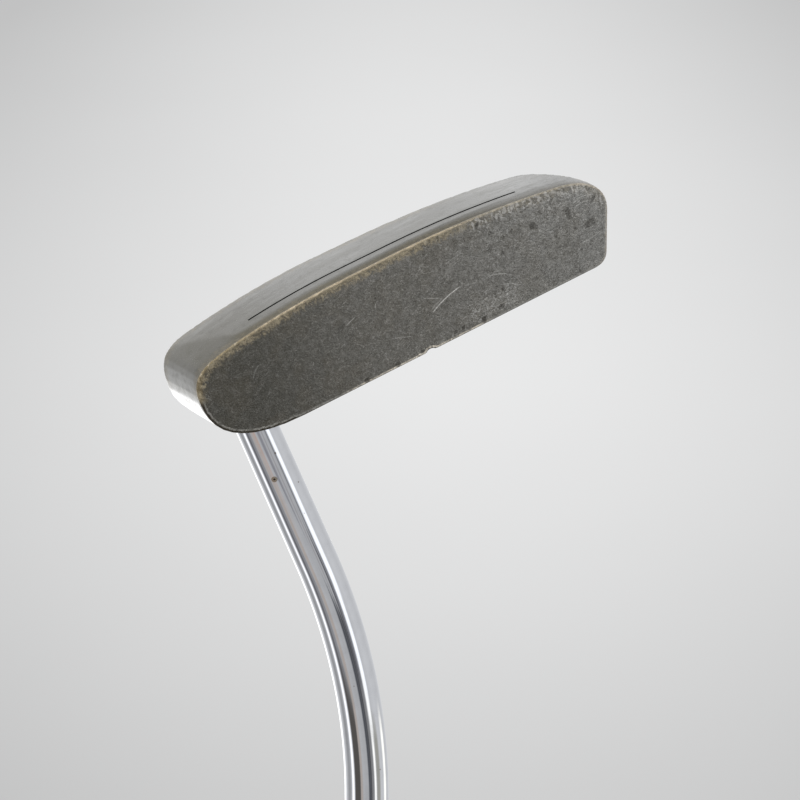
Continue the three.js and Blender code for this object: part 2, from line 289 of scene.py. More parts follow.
BRIGHT_HAIRS = (
    # turn in degrees, length, gap between them, thinness, how many
    (25, 2.4, 0.45, 0.04, 0.13),
    (-38, 2.0, 0.42, 0.04, 0.12),
    (80, 1.7, 0.40, 0.04, 0.13),
    (140, 1.9, 0.44, 0.04, 0.12),
)
DARK_HAIRS = (
    (55, 1.8, 0.5, 0.05, 0.13),
    (-15, 2.1, 0.5, 0.05, 0.13),
)


def hair_lines(s, place, turn, length, gap, thin, amount):
    """Short hair scratches across the face, all lying about one way."""
    turned = s.stretch(place, turn=(0, math.radians(turn), 0))
    bent = s.stretch(turned, (1 / length, 0.3, 1 / gap))
    ridge = s.math("ABSOLUTE", s.minus(s.noise(bent, 1.0, 1.5, 0.5, 0.35), 0.5))
    broken = s.noise(turned, 0.55, 2, 0.6)
    return s.times(s.step(ridge, thin, 0.0), s.step(broken, 0.62 - amount, 0.72 - amount))


class HeadPoint:
    """Where a point of the head is, and the noises that its patina is made of."""

    def __init__(self, s):
        shift = -(HEAD_TURN.transposed() @ HEAD_ORIGIN)
        self.place = s.stretch(s.place(), turn=(0, HEAD_TILT, 0), shift=shift)
        self.x, self.y, self.z = s.parts(self.place)
        self.face = s.attribute("face")
        self.sole = s.attribute("sole")
        self.edge = s.attribute("edge_distance")
        self.under = s.attribute("under")
        self.pit = s.attribute("pit")
        self.mottle = s.noise(self.place, 0.55, 4, 0.55, 0.4)
        self.wisp = s.noise(self.place, 1.3, 3, 0.6, 1.5)
        self.grain = s.noise(self.place, 2.5, 2, 0.6, 0.6)
        self.speck = s.noise(self.place, 4.5, 2, 0.6)
        drawn_out = s.stretch(self.place, (0.09, 0.42, 0.42), turn=(0, 0, 0.25))
        self.smear = s.noise(drawn_out, 1.0, 4, 0.6, 0.6)
        self.comb = s.noise(s.stretch(self.place, (1.05, 1.05, 0.75)), 1.0, 5, 0.68, 0.9)
        self.ragged_edge = s.plus(self.edge, s.times(s.minus(self.comb, 0.5), 1.3))
        self.front = s.step(self.y, 0.55, 0.2)


def face_patina(s, at):
    """The face: darker and browner at the heel, lighter towards the toe."""
    tone = s.mix(s.step(at.x, -46, -2), (0.096, 0.093, 0.079), (0.186, 0.180, 0.160))
    tone = s.mix(s.step(at.x, -2, 46), tone, (0.275, 0.271, 0.254))
    cloud = s.noise(at.place, 0.12, 3, 0.5, 0.3)
    tone = s.mix(s.step(cloud, 0.44, 0.62, 0, 0.26), tone, (0.15, 0.132, 0.098))
    stain = s.noise(at.place, 0.22, 3, 0.6, 0.8)
    tone = s.mix(s.step(stain, 0.52, 0.68, 0, 0.30), tone, (0.115, 0.112, 0.10))
    gritty = s.step(at.x, -40, 30, 0.55, 1.0)
    for layer, amount in ((at.mottle, 0.13), (at.wisp, 0.25), (at.grain, 0.16), (at.speck, 0.05)):
        lighter = s.times(s.step(layer, 0.5, 0.72), gritty, 1.3 * amount)
        darker = s.times(s.step(layer, 0.5, 0.30), gritty, 1.6 * amount)
        tone = s.mix(lighter, tone, (0.52, 0.51, 0.48))
        tone = s.mix(darker, tone, (0.07, 0.066, 0.055))
    return tone


def face_wear(s, at, tone, hairs, cuts, marks):
    """Hair scratches, a rubbed patch, chips near the sole's edge, and the longer scratches."""
    tone = s.mix(s.times(cuts, s.step(at.x, -45, 25, 0.18, 0.42)), tone, (0.07, 0.066, 0.055))
    toe_wear = s.times(s.step(at.x, 8, 40), s.step(at.z, 8, 22))
    hair_strength = s.plus(s.times(toe_wear, 0.30), s.step(at.x, -45, 20, 0.05, 0.24))
    tone = s.mix(s.times(hairs, hair_strength), tone, (0.80, 0.79, 0.76))

    flake = s.noise(s.stretch(at.place, (1.1, 1, 1.6)), 1.6, 4, 0.7, 0.8)
    rubbed = s.times(s.step(at.x, 8, 13), s.step(at.x, 27, 21))
    rubbed = s.times(rubbed, s.step(at.z, 0.5, 2.5), s.step(at.z, 8, 4))
    tone = s.mix(s.times(rubbed, s.step(flake, 0.48, 0.62, 0, 0.55)), tone, (0.72, 0.71, 0.68))

    chips = s.noise(s.stretch(at.place, (1.2, 1.0, 0.75), turn=(0, 0.35, 0)), 1.0, 3, 0.6, 0.5)
    chipped = s.times(s.step(at.x, 13, 20), s.step(at.edge, 3.4, 1.2), s.step(at.z, 10, 17))
    tone = s.mix(s.times(chipped, s.step(chips, 0.5, 0.58), 0.55), tone, (0.78, 0.77, 0.74))
    return s.mix(s.times(marks, 0.7), tone, (0.85, 0.84, 0.80))


def sole_patina_and_shade(s, at):
    """The sole: lighter and drawn out along its length, with painted shade where it rolls over to the
    face.
    """
    streak = s.noise(s.stretch(at.place, (0.06, 1.6, 1.6)), 1.0, 5, 0.6)
    tone = s.mix(s.step(at.x, -48, -20), (0.37, 0.362, 0.335), (0.39, 0.385, 0.365))
    tone = s.mix(s.step(at.x, 14, 44), tone, (0.57, 0.566, 0.55))
    tone = s.mix(s.step(streak, 0.4, 0.65, 0, 0.28), tone, (0.33, 0.322, 0.295))
    tone = s.mix(s.step(at.smear, 0.52, 0.68, 0, 0.32), tone, (0.32, 0.312, 0.282))
    tone = s.mix(s.step(at.smear, 0.48, 0.36, 0, 0.22), tone, (0.56, 0.555, 0.53))

    # painted shade: the crease behind the roll runs along the edge, then swings back round the heel, and
    # the shade lies in front of it
    past = s.minus(-38.3, at.x)
    past = s.plus(past, s.math("SQRT", s.plus(s.times(past, past), 3.0)))
    crease = s.plus(s.times(past, 0.65), s.step(at.x, 8, 36, 2.2, 1.2))
    softness = s.step(at.x, -36, -42, 1.1, 1.9)
    # painted shade between the crease and the face, its colour keeping the patina's smears
    painted_roll_shade = s.step(s.math("DIVIDE", s.minus(at.y, crease), softness), 1.0, -1.0)
    roll_shade_tone = s.mix(s.step(at.x, -43, -36), (0.275, 0.267, 0.240), (0.200, 0.186, 0.142))
    roll_shade_tone = s.mix(s.step(at.x, 12, 40), roll_shade_tone, (0.33, 0.32, 0.29))
    roll_shade_tone = s.mix(s.step(at.smear, 0.42, 0.60, 0, 0.35), roll_shade_tone, (0.26, 0.25, 0.215))
    return s.mix(s.times(painted_roll_shade, 0.92), tone, roll_shade_tone)


def side_patina_and_highlight(s, at):
    """The rest of the head, with a highlight painted bright low on the heel's side."""
    tone = s.mix(s.step(at.mottle, 0.3, 0.7), (0.45, 0.445, 0.42), (0.51, 0.505, 0.48))
    # painted highlight: a bright patch low on the heel's side, broken up by the smears
    painted_heel_highlight = s.times(s.step(at.z, 15.3, 12.5), s.step(at.x, -44, -47))
    painted_heel_highlight = s.times(painted_heel_highlight, s.step(at.smear, 0.60, 0.48, 0.55, 1.0))
    return s.mix(painted_heel_highlight, tone, (0.84, 0.835, 0.82))


def brass_edge(s, at, colour):
    """A ragged band of rubbed brass under the sole's front edge, and a bright chipped line on it."""
    by_sole = s.step(at.z, 12, 17)
    fuzz = s.minus(1.0, s.math("DIVIDE", at.edge, s.step(at.x, -40, 0, 2.3, 2.6)))
    fuzz = s.plus(fuzz, s.times(s.minus(at.comb, 0.5), 2.4))
    fuzz = s.times(s.step(fuzz, 0.0, 0.8), s.step(at.edge, 3.2, 1.6), by_sole)
    fuzz = s.times(fuzz, s.step(at.x, 10, 22, 0.8, 0.2), s.between(at.face, 0.35, 1.0))
    brass = s.mix(s.step(at.comb, 0.38, 0.60), (0.19, 0.16, 0.105), (0.46, 0.395, 0.275))
    colour = s.mix(fuzz, colour, brass)

    line = s.times(s.step(at.ragged_edge, 0.38, 0.08), s.step(at.comb, 0.34, 0.52, 0.6, 1.0))
    line = s.times(line, at.front, by_sole, s.step(at.x, 10, 24, 0.9, 0.6))
    worn = s.mix(s.step(at.x, 8, 26), (0.68, 0.575, 0.41), (0.54, 0.475, 0.36))
    worn = s.mix(s.step(at.x, -44, -24), (0.44, 0.36, 0.225), worn)
    colour = s.mix(line, colour, worn)
    chip = s.times(line, s.step(at.comb, 0.54, 0.64), s.step(at.x, 40, 20), 0.7)
    return s.mix(chip, colour, (0.92, 0.84, 0.70)), line


def heel_rim(s, at, colour):
    """A brass band round the heel, and below it painted shade: a dark rim that runs on along the topline
    and over the faces turned down under it.

    A thin line of painted highlight inside the rim is lighter, and brightest on the chips near the sight
    groove.
    """
    band = s.times(s.step(at.x, -48.5, -50.5), s.step(at.ragged_edge, 1.2, 0.7), at.front)
    band = s.times(band, s.step(at.z, 13, 15.5), s.step(at.z, 21.5, 19.5))
    brass = s.mix(s.step(at.comb, 0.4, 0.6), (0.24, 0.195, 0.12), (0.48, 0.405, 0.27))
    colour = s.mix(s.times(band, 0.75), colour, brass)

    below = s.step(at.z, 14.5, 12.5)
    inside = s.minus(at.edge, s.step(at.x, -40, -18, 0.42, 0.14))
    # painted highlight: a thin light line just inside the dark rim
    thin = s.times(s.step(inside, 0.55, 0.3), s.step(inside, -0.05, 0.1), below)
    thin = s.times(thin, s.step(at.comb, 0.40, 0.54, 0.25, 1.0))
    # where the topline is worn, the painted highlight line is brightest, on its chips
    worn = s.times(s.step(at.x, -24, -17), s.step(at.x, 16, 12))
    rim_highlight_tone = s.mix(worn, (0.44, 0.425, 0.39), (0.85, 0.78, 0.66))
    colour = s.mix(s.times(thin, s.plus(s.times(worn, 0.2), 0.7)), colour, rim_highlight_tone)
    # painted shade: a dark rim along the lower edges, joined with the faces turned down under the
    # topline
    rim = s.times(s.step(inside, 0.05, -0.12), below, s.step(at.y, 1.2, 0.7))
    rim = s.largest(at.under, rim)
    return s.mix(s.times(rim, 0.9), colour, (0.055, 0.047, 0.034)), s.times(thin, worn)


def toe_rim_and_dents(s, at, colour):
    """A light rim at the toe, and the face's dents, each dark with a lighter lip."""
    toe_rim = s.times(s.step(at.x, 42, 45.5), s.step(at.ragged_edge, 0.45, 0.05))
    colour = s.mix(s.times(toe_rim, 0.6), colour, (0.62, 0.56, 0.47))
    lip = s.times(s.step(at.pit, 0.03, 0.16), s.step(at.pit, 0.42, 0.24), s.step(at.wisp, 0.42, 0.55))
    colour = s.mix(s.times(lip, 0.3), colour, (0.62, 0.60, 0.55))
    dent = s.times(s.step(at.pit, 0.08, 0.8), s.step(at.grain, 0.3, 0.6, 0.9, 0.6))
    return s.mix(s.times(dent, s.step(at.z, 3, 1.2, 0.75, 1.0)), colour, (0.095, 0.09, 0.078))


def bronze_material():
    """Cast bronze under a dark grey-brown patina, worn to brass along its edges, with painted shade and
    painted highlights on the sole's roll, the heel's side and the rims.
    """
    material, s = new_shader("aged_bronze_painted_light")
    at = HeadPoint(s)
    hairs = s.largest(*[hair_lines(s, at.place, *each) for each in BRIGHT_HAIRS])
    cuts = s.largest(*[hair_lines(s, at.place, *each) for each in DARK_HAIRS])
    marks = s.largest(*[scratch(s, at.x, at.z, *each) for each in FACE_SCRATCHES])
    marks = s.times(marks, s.step(at.speck, 0.3, 0.6, 0.4, 1.0))

    body = s.mix(at.sole, side_patina_and_highlight(s, at), sole_patina_and_shade(s, at))
    body = s.mix(s.step(at.mottle, 0.5, 0.3, 0, 0.20), body, (0.16, 0.155, 0.13))
    colour = s.mix(at.face, body, face_wear(s, at, face_patina(s, at), hairs, cuts, marks))
    colour, edge_line = brass_edge(s, at, colour)
    colour, rim_line = heel_rim(s, at, colour)
    colour = toe_rim_and_dents(s, at, colour)

    rough = s.between(at.face, s.between(at.sole, 0.17, 0.24), 0.36)
    rough = s.plus(rough, s.times(s.minus(at.speck, 0.5), 0.2))
    rough = s.plus(rough, s.times(s.largest(edge_line, rim_line), 0.1))
    height = s.plus(s.times(at.mottle, 0.3), s.times(at.grain, 0.45), s.times(at.wisp, 0.7),
                    s.times(at.speck, 0.10))
    height = s.times(height, s.step(at.x, -45, 30, 0.55, 1.0), s.between(at.face, 0.035, 1.0))
    height = s.minus(height, s.times(s.largest(marks, hairs, cuts), at.face, 0.22))
    s.surface(Base_Color=colour, Metallic=1.0, Roughness=rough, Normal=s.bump(height, 0.42, 1.0))
    return material


def chrome_material():
    """Polished chrome with a few specks, and one rust pit in three rings on its front."""
    material, s = new_shader("polished_chrome")
    place = s.place()
    haze = s.noise(place, 0.35, 4, 0.6)
    pit = s.cells(place, 0.32)
    tone = s.mix(s.step(haze, 0.3, 0.8), (0.78, 0.79, 0.81), (0.72, 0.73, 0.75))
    speck = s.times(s.step(pit, 0.10, 0.05), s.step(haze, 0.5, 0.6))
    tone = s.mix(speck, tone, (0.20, 0.14, 0.09))
    centre, across, beside = along_shaft(BORE_ENTRY - RUST_BELOW_HEAD)
    rust = centre + TIP_RADIUS * (across * math.cos(RUST_ROUND) + beside * math.sin(RUST_ROUND))
    reach = s.length(s.stretch(place, shift=-rust))
    reach = s.plus(reach, s.times(s.minus(haze, 0.5), 0.5))
    tone = s.mix(s.step(reach, 0.78, 0.58, 0, 0.85), tone, (0.27, 0.215, 0.14))
    tone = s.mix(s.step(reach, 0.50, 0.38), tone, (0.42, 0.38, 0.31))
    tone = s.mix(s.step(reach, 0.33, 0.20), tone, (0.05, 0.04, 0.035))
    rough = s.step(haze, 0.3, 0.8, 0.035, 0.075)
    drawn = s.noise(s.stretch(place, (1, 1, 0.01)), 5.0, 2, 0.5)
    s.surface(Base_Color=tone, Metallic=1.0, Roughness=rough, Normal=s.bump(drawn, 0.004, 0.25))
    return material


def rubber_material(name, tone, grain_scale):
    """Black rubber with a fine grain and a little pale dust."""
    material, s = new_shader(name)
    place = s.place()
    grain = s.cells(place, grain_scale)
    dust = s.noise(place, 0.08, 4, 0.6)
    light = tuple(1.9 * c for c in tone)
    colour = s.mix(s.step(dust, 0.4, 0.75, 0, 0.7), tone, light)
    rough = s.step(dust, 0.3, 0.7, 0.62, 0.8)
    s.surface(Base_Color=colour, Roughness=rough, Normal=s.bump(grain, 0.15, 0.5))
    return material


def epoxy_material():
    material, s = new_shader("cured_epoxy")
    cloud = s.noise(s.place(), 0.8, 3, 0.5)
    colour = s.mix(cloud, (0.42, 0.33, 0.17), (0.58, 0.48, 0.28))
    s.surface(Base_Color=colour, Roughness=0.25, Normal=s.bump(cloud, 0.1, 0.3))
    return material


def cork_material():
    material, s = new_shader("cork")
    place = s.place()
    lump = s.cells(place, 1.1)
    dark = s.noise(place, 1.6, 4, 0.6)
    colour = s.mix(s.step(lump, 0.2, 0.6), (0.48, 0.29, 0.15), (0.30, 0.17, 0.08))
    colour = s.mix(s.step(dark, 0.62, 0.7), colour, (0.10, 0.05, 0.03))
    s.surface(Base_Color=colour, Roughness=0.9, Normal=s.bump(lump, 0.2, 0.6))
    return material


def tape_material():
    material, s = new_shader("crepe_tape")
    place = s.place()
    crepe = s.noise(s.stretch(place, (0.6, 0.6, 3)), 1.2, 4, 0.6)
    colour = s.mix(crepe, (0.52, 0.45, 0.32), (0.70, 0.63, 0.48))
    s.surface(Base_Color=colour, Roughness=0.85, Normal=s.bump(crepe, 0.1, 0.6))
    return material


BRONZE = bronze_material()
CHROME = chrome_material()
GRIP_RUBBER = rubber_material("grip_rubber", (0.018, 0.018, 0.019), 1.1)
CAP_RUBBER = rubber_material("cap_rubber", (0.014, 0.014, 0.015), 1.6)
EPOXY = epoxy_material()
CORK = cork_material()
TAPE = tape_material()

# ---------------------------------------------------------------- mesh helpers


def add_piece(name, mesh, material, slot, *nodes):
    mesh.materials.clear()
    mesh.materials.append(material)
    piece = bpy.data.objects.new(name, mesh)
    bpy.context.scene.collection.objects.link(piece)
    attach(piece, "root")
    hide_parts(*nodes)
    return piece


def ring_mesh(name, rings, crease_degrees=35):
    """A closed skin through rings of points in millimetres; the last ring joins the first."""
    count, sides = len(rings), len(rings[0])
    points = [tuple(MM * c for c in p) for ring in rings for p in ring]
    faces = []
    for i in range(count):
        for k in range(sides):
            a, b = i * sides + k, i * sides + (k + 1) % sides
            faces.append((a, b, (b + sides) % len(points), (a + sides) % len(points)))
    mesh = bpy.data.meshes.new(name)
    mesh.from_pydata(points, [], faces)
    finish_mesh(mesh, crease_degrees)
    return mesh


def finish_mesh(mesh, crease_degrees):
    shape = bmesh.new()
    shape.from_mesh(mesh)
    bmesh.ops.recalc_face_normals(shape, faces=shape.faces)
    shape.to_mesh(mesh)
    shape.free()
    mesh.polygons.foreach_set("use_smooth", [True] * len(mesh.polygons))
    mesh.set_sharp_from_angle(angle=math.radians(crease_degrees))
    mesh.update()


def shaft_ring(radius, z, sides):
    centre, across, beside = along_shaft(z)
    angles = [2 * math.pi * k / sides for k in range(sides)]
    return [centre + across * radius * math.cos(a) + beside * radius * math.sin(a) for a in angles]


# ---------------------------------------------------------------- shaft


def shaft_profile():
    """[radius, z] down the outside of the shaft, from its tip to its butt."""
    def taper(z):
        return TIP_RADIUS + TIP_TAPER * max(BORE_ENTRY - z, 0)
    profile = [(TIP_RADIUS - 0.3, SHAFT_TIP), (TIP_RADIUS, SHAFT_TIP - 0.3)]
    rings = 60
    for i in range(rings + 1):
        z = BORE_ENTRY + (BEND_START - BORE_ENTRY) * i / rings
        profile.append((taper(z), z))
    radius = taper(BEND_START)
    rise = (BUTT_RADIUS - radius) / SHAFT_STEPS
    for i in range(SHAFT_STEPS):
        z = BEND_START - FIRST_STEP_BELOW_BEND - i * STEP_PITCH
        for part in range(5):
            share = part / 4
            smooth = share * share * (3 - 2 * share)
            profile.append((radius + rise * smooth, z - 4 * rise * share))
        radius += rise
    profile.append((BUTT_RADIUS, SHAFT_BUTT_Z))
    return profile


def shaft():
    """The stepped and bent tube, hollow from end to end."""
    sides = 96
    outside = shaft_profile()
    inside = [(radius - SHAFT_WALL, z) for radius, z in reversed(outside)]
    rings = [shaft_ring(radius, z, sides) for radius, z in outside + inside]
    return add_piece("shaft_tube_polished", ring_mesh("shaft", rings, 50), CHROME, "shaft_chrome",
                     "shaft_tube")


def bond():
    """Adhesive between the tip and the bore, with a small meniscus at the bore's mouth."""
    sides = 64
    mouth = BORE_ENTRY + BOSS_TOP / math.cos(TIP_LEAN)
    inner, outer = TIP_RADIUS + 0.01, BORE_RADIUS - 0.03
    top = SHAFT_TIP - 0.2
    profile = [(inner, top), (inner, mouth - 0.5), (inner + 0.15, mouth - 0.42)]
    profile += [(outer - 0.2, mouth - 0.1), (outer, mouth + 0.1), (outer, top)]
    rings = [shaft_ring(radius, z, sides) for radius, z in profile]
    return add_piece("bond_fillet", ring_mesh("bond", rings), EPOXY, "epoxy", "shaft_bond")


# ---------------------------------------------------------------- head

VOXEL = 0.33                            # fineness of the head's mesh
DENT_DEPTH = 0.13
FILLER_BOTTOM, CUT_BOTTOM, CUT_TOP = 17.0, 16.5, 30.0      # heights of the slot's filler and cutter


def sole_height(x, y):
    past = max(abs(x - REST_X) - REST_LENGTH / 2, 0)
    rocker = HEEL_ROCKER if x < REST_X else TOE_ROCKER
    front = max(1 - y / RELIEF_WIDTH, 0)
    return (HEAD_HEIGHT - past ** 2 / (2 * rocker)) * (1 + RELIEF * (1 - front ** 2) / HEAD_HEIGHT)


def slot_middle(x):
    """How far behind the face the slot's middle is; the cut is not quite parallel to the face."""
    return SLOT_Y - (x - (SLOT_HEEL + SLOT_TOE) / 2) * math.tan(SLOT_SKEW)


def evaluated_mesh(piece, name):
    graph = bpy.context.evaluated_depsgraph_get()
    mesh = bpy.data.meshes.new_from_object(piece.evaluated_get(graph))
    mesh.name = name
    return mesh


def slot_bar(name, overlap, half_width, bottom, top):
    """A bar along the slot, up to a height that is given or flush with the sole."""
    steps = 24
    points, faces = [], []
    for i in range(steps + 1):
        x = SLOT_HEEL - overlap + (SLOT_TOE - SLOT_HEEL + 2 * overlap) * i / steps
        for y in (slot_middle(x) - half_width, slot_middle(x) + half_width):
            points += [(x, y, bottom), (x, y, top or sole_height(x, y) - 0.02)]
    for i in range(steps):
        for a, b in ((0, 1), (1, 3), (3, 2), (2, 0)):
            faces.append((4 * i + a, 4 * i + b, 4 * i + 4 + b, 4 * i + 4 + a))
    faces += [(0, 2, 3, 1), (4 * steps, 4 * steps + 1, 4 * steps + 3, 4 * steps + 2)]
    mesh = bpy.data.meshes.new(name)
    mesh.from_pydata(points, [], faces)
    finish_mesh(mesh, 30)
    return mesh


def scratch_object(name, mesh):
    made = bpy.data.objects.new(name, mesh)
    bpy.context.scene.collection.objects.link(made)
    return made


def remeshed_head():
    """The CAD head as an even fine mesh in the head frame, with its slot filled for now."""
    shape = bmesh.new()
    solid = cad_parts["putter_head"].data.copy()
    solid.transform(HEAD_TO_PART.inverted())
    shape.from_mesh(solid)
    shape.from_mesh(slot_bar("filler", 0.3, SLOT_WIDTH, FILLER_BOTTOM, None))
    shape.to_mesh(solid)
    shape.free()
    exact = scratch_object("exact_head", solid)
    even = scratch_object("even_head", solid.copy())
    remesh = even.modifiers.new("even", "REMESH")
    remesh.mode = "VOXEL"
    remesh.voxel_size = VOXEL
    wrap = even.modifiers.new("crisp", "SHRINKWRAP")
    wrap.wrap_method = "NEAREST_SURFACEPOINT"
    wrap.target = exact
    mesh = evaluated_mesh(even, "even_head")
    bpy.data.objects.remove(even)
    bpy.data.objects.remove(exact)
    return mesh


def read_points(mesh):
    points = np.empty(len(mesh.vertices) * 3)
    mesh.vertices.foreach_get("co", points)
    return points.reshape(-1, 3)


def write_points(mesh, points):
    mesh.vertices.foreach_set("co", points.ravel())
    mesh.update()


def neighbour_mean(values, edges, count):
    """Mean over each vertex's neighbours of a column of values."""
    total = np.bincount(edges[:, 0], values[edges[:, 1]], count)
    total += np.bincount(edges[:, 1], values[edges[:, 0]], count)
    number = np.bincount(edges.ravel(), minlength=count)
    return total / np.maximum(number, 1)


def neighbours_middle(points, edges):
    """The middle of each point's neighbours."""
    return np.stack([neighbour_mean(points[:, i], edges, len(points)) for i in range(3)], 1)


def relaxed(points, edges, share):
    return points + share * (neighbours_middle(points, edges) - points)


def mesh_edges(mesh):
    edges = np.empty(len(mesh.edges) * 2, dtype=np.int64)
    mesh.edges.foreach_get("vertices", edges)
    return edges.reshape(-1, 2)


def set_attribute(mesh, name, values):
    layer = mesh.attributes.new(name, "FLOAT", "POINT")
    layer.data.foreach_set("value", values.astype(np.float32))


def smooth_step(values, low, high):
    share = np.clip((values - low) / (high - low), 0, 1)
    return share * share * (3 - 2 * share)


PITS = (
    # x, z on the face, half length, half width, turn in degrees, how dark
    (31.9, 16.3, 0.95, 0.95, 0, 0.9),
    (24.6, 16.8, 0.7, 0.5, 60, 0.6),
    (26.8, 17.3, 0.9, 0.45, 50, 0.8),
    (40.6, 15.0, 1.6, 0.7, 85, 0.95),
    (47.2, 15.6, 1.2, 0.5, 40, 0.8),
    (44.9, 14.3, 0.7, 0.35, 10, 0.6),
    (44.6, 10.6, 1.6, 0.95, 5, 0.8),
    (38.0, 17.6, 0.8, 0.5, 70, 0.6),
    (36.2, 11.3, 1.1, 0.4, 20, 0.6),
    (32.6, 11.3, 0.6, 0.6, 0, 0.6),
    (29.5, 8.1, 0.7, 0.5, 30, 0.5),
    (23.2, 14.0, 1.3, 0.45, 65, 0.6),
    (20.5, 5.8, 0.8, 0.5, 70, 0.7),
    (18.7, 2.0, 0.9, 0.6, 20, 0.9),
    (40.2, 10.2, 0.6, 0.4, 50, 0.6),
    (9.4, 14.5, 0.9, 0.4, 80, 0.6),
    (31.3, 20.6, 1.5, 0.35, 8, 0.9),
    (22.4, 19.3, 1.1, 0.5, -30, 0.6),
    (19.9, 22.4, 1.0, 0.5, 55, 0.8),
    (6.8, 1.5, 0.7, 0.5, 20, 0.8),
    (8.8, 1.6, 0.6, 0.5, 70, 0.8),
    (13.9, 1.0, 0.9, 0.6, 85, 0.9),
    (10.6, 23.8, 0.7, 0.45, 80, 0.8),
    (8.0, 24.1, 0.6, 0.35, 60, 0.6),
    (-6.4, 4.8, 0.5, 0.35, 60, 0.6),
    (-16.0, 0.7, 0.7, 0.6, 0, 1.0),
    (-8.1, 0.8, 0.7, 0.6, 0, 1.0),
    (-1.8, 0.9, 0.6, 0.5, 0, 0.9),
    (16.0, 5.6, 0.7, 0.35, 75, 0.5),
)


def pit_depth(x, z):
    """0 to 1: how deep in one of the face's dents a point lies."""
    depth = np.zeros(len(x))
    for pit_x, pit_z, half_length, half_width, turn, dark in PITS:
        cos, sin = math.cos(math.radians(turn)), math.sin(math.radians(turn))
        along = ((x - pit_x) * cos + (z - pit_z) * sin) / half_length
        across = ((z - pit_z) * cos - (x - pit_x) * sin) / half_width
        size = min(half_width / 0.6, 1)
        depth = np.maximum(depth, dark * size * smooth_step(along ** 2 + across ** 2, 1.6, 0.2))
    return depth


def face_dents(points):
    """0 to 1: how deep in a dent of the face each point lies, and 0 away from the face."""
    on_face = 1 - smooth_step(points[:, 1], 0.3, 0.8)
    return on_face * pit_depth(points[:, 0], points[:, 2])


def dented_head():
    mesh = remeshed_head()
    points = relaxed(read_points(mesh), mesh_edges(mesh), 0.3)
    points[:, 1] += DENT_DEPTH * face_dents(points)
    write_points(mesh, points)
    return mesh


def slotted(mesh):
    """The head with its thin slot cut sharply into the fine mesh."""
    body = scratch_object("head_body", mesh)
    bar = slot_bar("slot", 0.0, SLOT_WIDTH / 2, CUT_BOTTOM, CUT_TOP)
    cutter = scratch_object("slot_cutter", bar)
    cut = body.modifiers.new("slot", "BOOLEAN")
    cut.operation = "DIFFERENCE"
    cut.object = cutter
    cut.solver = "EXACT"
    bpy.context.view_layer.update()
    mesh = evaluated_mesh(body, "head")
    bpy.data.objects.remove(body)
    bpy.data.objects.remove(cutter)
    return mesh


def edge_distances(points, normals, edges):
    """How far each point is from the nearest convex edge of the head, leaving out the slot's."""
    convex = ((points - neighbours_middle(points, edges)) * normals).sum(1)
    by_slot = np.abs(points[:, 1] - slot_middle(points[:, 0])) < 0.8
    convex[by_slot & (points[:, 2] > 12)] = 0
    convex = neighbour_mean(convex, edges, len(points))
    ridge = points[(convex > 0.010) & (normals[:, 1] > -0.93)]
    tree = KDTree(len(ridge))
    for index, point in enumerate(ridge):
        tree.insert(point, index)
    tree.balance()
    return np.array([min(tree.find(point)[2], 20.0) for point in points])


def head():
    """The worn head; its attributes tell the bronze where its faces, edges and dents are."""
    mesh = slotted(dented_head())
    points = read_points(mesh)
    normals = np.empty(points.size)
    mesh.vertex_normals.foreach_get("vector", normals)
    normals = normals.reshape(-1, 3)
    turned = smooth_step(1 + normals[:, 1], 0.04, 0.30) * smooth_step(points[:, 1], 1.2, 0.7)
    set_attribute(mesh, "edge_distance", edge_distances(points, normals, mesh_edges(mesh)))
    set_attribute(mesh, "face", 1 - smooth_step(points[:, 1], 0.15, 0.5))
    set_attribute(mesh, "sole", smooth_step(normals[:, 2], 0.45, 0.85))
    # faces turned down under the topline, which the bronze darkens with painted shade
    set_attribute(mesh, "under", turned * smooth_step(-normals[:, 2], -0.20, 0.20))
    set_attribute(mesh, "pit", face_dents(points))
    mesh.transform(HEAD_TO_PART)
    finish_mesh(mesh, 45)
    return add_piece("putter_head_worn", mesh, BRONZE, "head_bronze", "putter_head")


# ---------------------------------------------------------------- grip


def grip_radius(z):
    from_mouth = 1 - min(max(z / GRIP_LENGTH, 0), 1)
    return GRIP_MOUTH + (GRIP_BUTT - GRIP_MOUTH) * from_mouth ** 1.3


def pistol_point(angle, radius, z):
    """A point of the grip's outside, inset by grip_radius(z) - radius."""
    full = grip_radius(z)
    swelling = GRIP_BULGE * math.exp(-(((z - GRIP_BULGE_Z) / GRIP_BULGE_SPREAD) ** 2))
    x, y = radius * math.cos(angle), radius * math.sin(angle)
    if x < 0:
        x *= 1 + swelling / full
    flat = GRIP_FLAT * full - (full - radius)
    x = min(x, flat)
    return Vector((x, y, z))


GRIP_SIDES = 120


def round_ring(radius, z):
    angles = [2 * math.pi * k / GRIP_SIDES for k in range(GRIP_SIDES)]
    return [Vector((radius * math.cos(a), radius * math.sin(a), z)) for a in angles]


def grip():
    """The moulded sleeve, with fine cross grooves down its flat thumb side."""
    rows = 260
    start = CAP_THICKNESS + CAP_GAP
    rings = []
    for i in range(rows + 1):
        z = start + (GRIP_LENGTH - 1.2 - start) * i / rows
        ring = []
        for k in range(GRIP_SIDES):
            angle = 2 * math.pi * k / GRIP_SIDES
            groove = 0.0
            by_thumb = abs(math.sin(angle)) < 0.42 and math.cos(angle) > 0
            if by_thumb and GROOVES_FROM < z < GROOVES_TO:
                groove = GROOVE_DEPTH * max(0, math.sin(z * math.pi / GROOVE_PITCH)) ** 2
            ring.append(pistol_point(angle, grip_radius(z) - groove, z))
        rings.append(ring)
    lip = [(GRIP_MOUTH - 0.5, GRIP_LENGTH - 0.4), (GRIP_CORE + 0.4, GRIP_LENGTH)]
    lip += [(GRIP_CORE, GRIP_LENGTH), (GRIP_CORE, start)]
    rings += [round_ring(radius, z) for radius, z in lip]
    return add_piece("grip_sleeve_moulded", ring_mesh("grip", rings, 60), GRIP_RUBBER, "grip_rubber",
                     "grip_sleeve")


